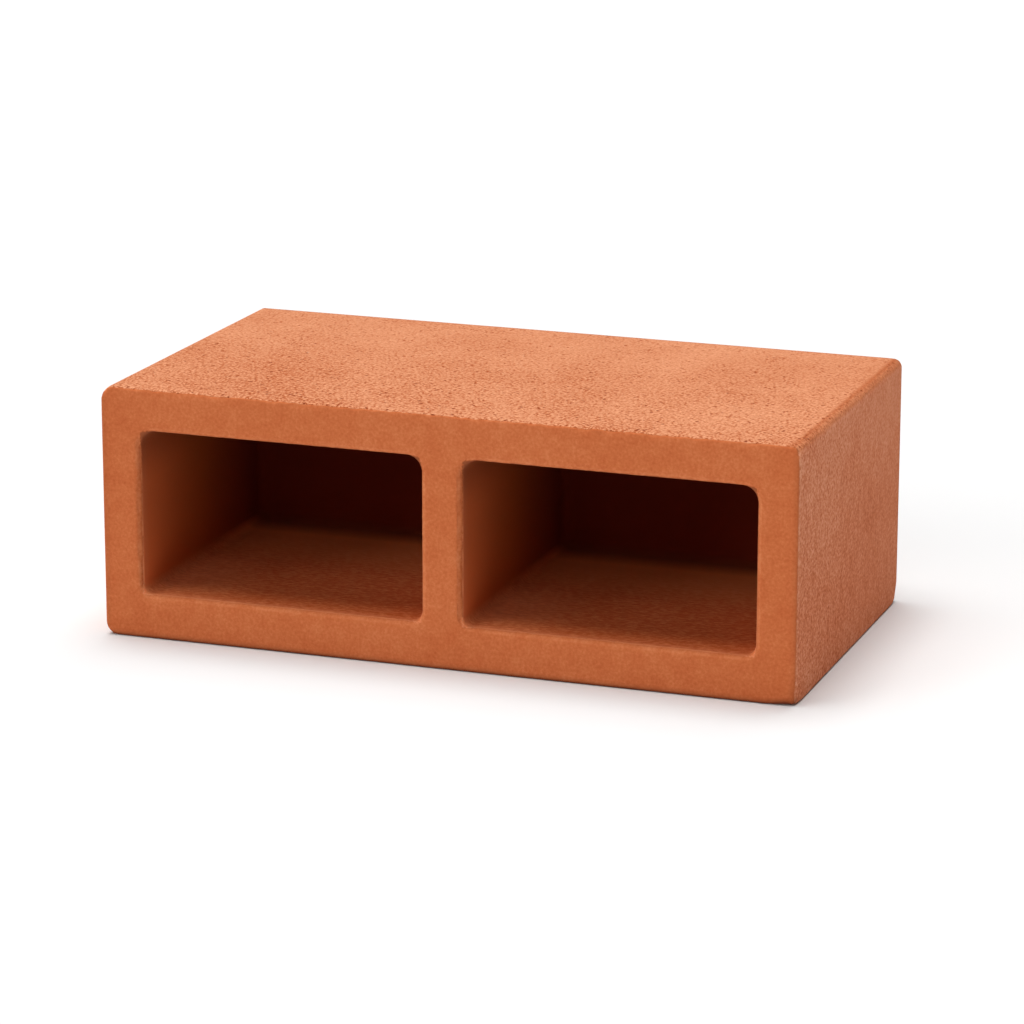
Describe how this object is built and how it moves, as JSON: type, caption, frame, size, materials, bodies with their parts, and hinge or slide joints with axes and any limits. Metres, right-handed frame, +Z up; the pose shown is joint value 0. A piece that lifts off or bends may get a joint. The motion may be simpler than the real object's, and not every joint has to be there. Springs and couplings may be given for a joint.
{
  "type": "ventilation block",
  "caption": "Fired-clay masonry block with a smooth front face, deep rounded rectangular pockets side by side behind it, and a closed back.",
  "frame": {"origin": "middle of the bed face that the block stands on", "axes": "+X along the length, +Z up, the pockets open towards -Y and the closed back faces +Y"},
  "size_m": [0.29, 0.154, 0.1035],
  "materials": {
    "fired_clay": "matte"
  },
  "bodies": {
    "root": {"ventilation_block": "fired_clay"}
  },
  "joints": []
}
